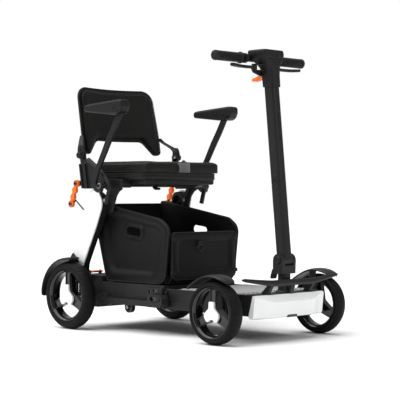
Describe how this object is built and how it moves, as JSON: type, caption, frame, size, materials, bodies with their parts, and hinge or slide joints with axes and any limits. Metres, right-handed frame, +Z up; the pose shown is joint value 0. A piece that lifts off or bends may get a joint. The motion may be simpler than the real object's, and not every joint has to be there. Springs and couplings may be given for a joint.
{
  "type": "folding mobility scooter",
  "caption": "Compact folding four-wheel mobility scooter with padded seat, swing-up armrests, under-seat storage bin and folding tiller.",
  "frame": {"origin": "on the ground under the middle of the scooter's length and width", "axes": "+X forward, +Y to the rider's left, +Z up"},
  "size_m": [0.944, 0.564, 0.931],
  "materials": {
    "shell_plastic": "fine grained charcoal moulding",
    "frame_metal": "charcoal powder coat on aluminium",
    "silver_metal": "satin",
    "steel": "bright zinc",
    "deck_grip": "ribbed anti-slip finish",
    "white_cover": "glossy white",
    "orange_plastic": "semi-matt orange",
    "orange_rubber": "soft orange rubber",
    "tyre_rubber": "matt tread",
    "rim_plastic": "satin black",
    "seat_vinyl": "soft warm black upholstery",
    "bin_panel": "moulded felt-faced foam board",
    "grip_rubber": "ribbed grip",
    "battery_case": "black case",
    "display_glass": "gloss black panel"
  },
  "bodies": {
    "base": {"base_shell": "shell_plastic", "base_lid": "shell_plastic", "front_chassis": "frame_metal", "deck_plate": "deck_grip", "front_cover": "white_cover", "bumper": "frame_metal", "rear_fenders": "shell_plastic", "side_rails": "frame_metal", "battery_pack": "battery_case", "controller": "silver_metal", "charge_port": "battery_case", "rear_motors": "silver_metal", "base_pins": "steel", "bin_side_right": "bin_panel", "bin_side_left": "bin_panel", "bin_band": "bin_panel"},
    "pedal": {"release_pedal": "orange_plastic"},
    "roller_pair": {"rollers": "rim_plastic"},
    "frame": {"uprights": "frame_metal", "side_cover_right": "white_cover", "side_cover_left": "white_cover"},
    "seat": {"seat_pan": "shell_plastic", "seat_cushion": "seat_vinyl", "seat_brackets": "frame_metal", "seat_bolts": "steel", "side_straps": "orange_rubber"},
    "backrest": {"backrest_shell": "shell_plastic", "backrest_pad": "seat_vinyl", "backrest_arms": "frame_metal"},
    "arm_right": {"arm_strut_right": "frame_metal", "arm_pad_right": "shell_plastic"},
    "arm_left": {"arm_strut_left": "frame_metal", "arm_pad_left": "shell_plastic"},
    "steer": {"steer_stem": "frame_metal"},
    "link": {"steering_link": "steel"},
    "hub_right": {"knuckle_right": "frame_metal", "front_fender_right": "shell_plastic"},
    "hub_left": {"knuckle_left": "frame_metal", "front_fender_left": "shell_plastic"},
    "tiller": {"tiller_column": "frame_metal", "tiller_head": "shell_plastic", "handlebar": "frame_metal", "grips": "grip_rubber", "display": "display_glass"},
    "lever_right": {"throttle_right": "shell_plastic"},
    "lever_left": {"throttle_left": "shell_plastic"},
    "tiller_release": {"release_lever": "orange_plastic"},
    "stem_lock": {"lock_lever": "shell_plastic"},
    "rear_wheel_right": {"rear_tyre_right": "tyre_rubber", "rear_rim_right": "rim_plastic", "rear_cap_right": "white_cover"},
    "rear_wheel_left": {"rear_tyre_left": "tyre_rubber", "rear_rim_left": "rim_plastic", "rear_cap_left": "white_cover"},
    "front_wheel_right": {"front_tyre_right": "tyre_rubber", "front_rim_right": "rim_plastic", "front_cap_right": "white_cover"},
    "front_wheel_left": {"front_tyre_left": "tyre_rubber", "front_rim_left": "rim_plastic", "front_cap_left": "white_cover"}
  },
  "joints": [
    {"name": "frame_fold", "type": "hinge", "parent": "base", "child": "frame", "pos_m": [-0.34, 0, 0.165], "axis": [0, 1, 0], "range_deg": [0, 55], "deforming": ["bin_side_right", "bin_side_left", "bin_band"]},
    {"name": "seat_level", "type": "hinge", "parent": "frame", "child": "seat", "pos_m": [-0.212, 0, 0.446], "axis": [0, 1, 0], "range_deg": [-55, 0]},
    {"name": "backrest_fold", "type": "hinge", "parent": "seat", "child": "backrest", "pos_m": [-0.306, 0, 0.602], "axis": [0, 1, 0], "range_deg": [0, 100]},
    {"name": "arm_fold_right", "type": "hinge", "parent": "seat", "child": "arm_right", "pos_m": [-0.177, -0.25, 0.495], "axis": [0, 1, 0], "range_deg": [-70, 0]},
    {"name": "arm_fold_left", "type": "hinge", "parent": "seat", "child": "arm_left", "pos_m": [-0.177, 0.25, 0.495], "axis": [0, 1, 0], "range_deg": [-70, 0]},
    {"name": "tiller_steer", "type": "hinge", "parent": "base", "child": "steer", "pos_m": [0.427, 0, 0.2], "axis": [0, 0, 1], "range_deg": [-36, 36]},
    {"name": "tiller_fold", "type": "hinge", "parent": "steer", "child": "tiller", "pos_m": [0.428, 0, 0.257], "axis": [0, 1, 0], "range_deg": [-44, 0]},
    {"name": "steer_right", "type": "hinge", "parent": "base", "child": "hub_right", "pos_m": [0.364, -0.195, 0.11], "axis": [0, 0, 1], "range_deg": [-20, 20]},
    {"name": "steer_left", "type": "hinge", "parent": "base", "child": "hub_left", "pos_m": [0.364, 0.195, 0.11], "axis": [0, 0, 1], "range_deg": [-20, 20]},
    {"name": "link_slide", "type": "slide", "parent": "base", "child": "link", "axis": [0, 1, 0], "range_m": [-0.0203, 0.0203]},
    {"name": "throttle_right_pull", "type": "hinge", "parent": "tiller", "child": "lever_right", "pos_m": [0.348, -0.056, 0.874], "axis": [0, 0, -1], "range_deg": [0, 12], "stiffness_Nm_per_rad": 0.4},
    {"name": "throttle_left_pull", "type": "hinge", "parent": "tiller", "child": "lever_left", "pos_m": [0.348, 0.056, 0.874], "axis": [0, 0, 1], "range_deg": [0, 12], "stiffness_Nm_per_rad": 0.4},
    {"name": "release_lever_pull", "type": "hinge", "parent": "tiller", "child": "tiller_release", "pos_m": [0.354, 0, 0.851], "axis": [0, 1, 0], "range_deg": [0, 18], "stiffness_Nm_per_rad": 0.5, "springref_deg": -2.86},
    {"name": "lock_lever_swing", "type": "hinge", "parent": "steer", "child": "stem_lock", "pos_m": [0.4, 0, 0.228], "axis": [0, 1, 0], "range_deg": [0, 35]},
    {"name": "pedal_press", "type": "hinge", "parent": "base", "child": "pedal", "pos_m": [-0.384, -0.101, 0.191], "axis": [0, 1, 0], "range_deg": [-12, 0], "stiffness_Nm_per_rad": 3, "springref_deg": 2.86},
    {"name": "roller_spin", "type": "hinge", "parent": "base", "child": "roller_pair", "pos_m": [-0.135, 0, 0.082], "axis": [0, 1, 0], "continuous": true},
    {"name": "rear_wheel_right_spin", "type": "hinge", "parent": "base", "child": "rear_wheel_right", "pos_m": [-0.34, -0.249, 0.1165], "axis": [0, 1, 0], "continuous": true},
    {"name": "rear_wheel_left_spin", "type": "hinge", "parent": "base", "child": "rear_wheel_left", "pos_m": [-0.34, 0.249, 0.1165], "axis": [0, 1, 0], "continuous": true},
    {"name": "front_wheel_right_spin", "type": "hinge", "parent": "hub_right", "child": "front_wheel_right", "pos_m": [0.364, -0.249, 0.1005], "axis": [0, 1, 0], "continuous": true},
    {"name": "front_wheel_left_spin", "type": "hinge", "parent": "hub_left", "child": "front_wheel_left", "pos_m": [0.364, 0.249, 0.1005], "axis": [0, 1, 0], "continuous": true}
  ],
  "couplings": [
    {"joint": "seat_level", "follows": "frame_fold", "ratio": -1},
    {"joint": "steer_right", "follows": "tiller_steer", "ratio": 0.555},
    {"joint": "steer_left", "follows": "tiller_steer", "ratio": 0.555},
    {"joint": "link_slide", "follows": "tiller_steer", "m_per_rad": -0.0321}
  ]
}
